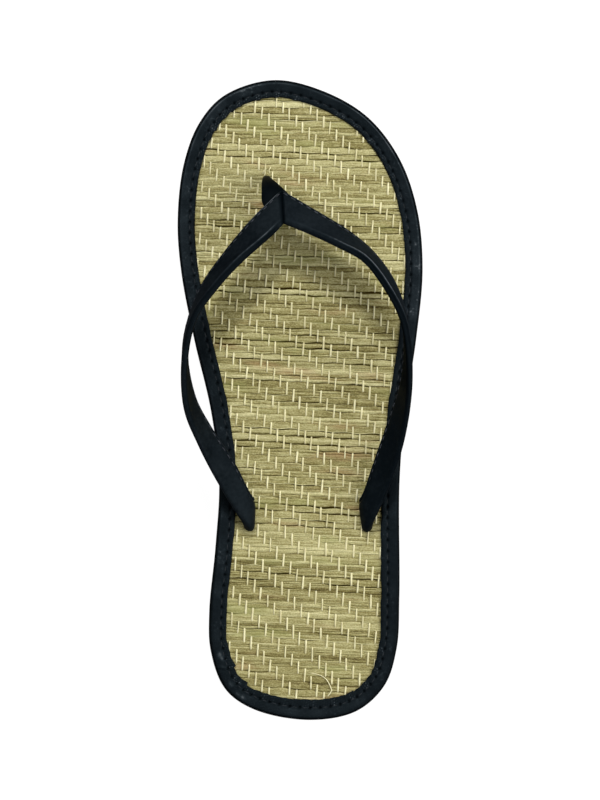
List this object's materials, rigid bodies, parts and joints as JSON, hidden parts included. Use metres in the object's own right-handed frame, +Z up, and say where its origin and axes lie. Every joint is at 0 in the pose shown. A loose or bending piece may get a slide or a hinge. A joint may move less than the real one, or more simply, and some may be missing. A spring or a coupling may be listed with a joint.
{
  "type": "flip-flop sandal",
  "caption": "Right-foot flip-flop: woven reed footbed bound with a dark folded tape, foam sole, and a V-shaped thong strap on a toe post.",
  "frame": {"origin": "on the floor, below the middle of the shoe's bounding box", "axes": "+Y towards the toe, +X towards the little toe, +Z up from the floor"},
  "size_m": [0.0995, 0.26, 0.0407],
  "materials": {
    "sole_foam": "matt closed-cell foam",
    "reed_mat": "satin dried reed with cream cotton warp",
    "binding_tape": "grained vinyl tape, low gloss",
    "strap_vinyl": "smooth vinyl, satin"
  },
  "bodies": {
    "root": {"outsole": "sole_foam", "footbed_mat": "reed_mat", "edge_binding": "binding_tape", "thong_strap": "strap_vinyl"}
  },
  "joints": []
}
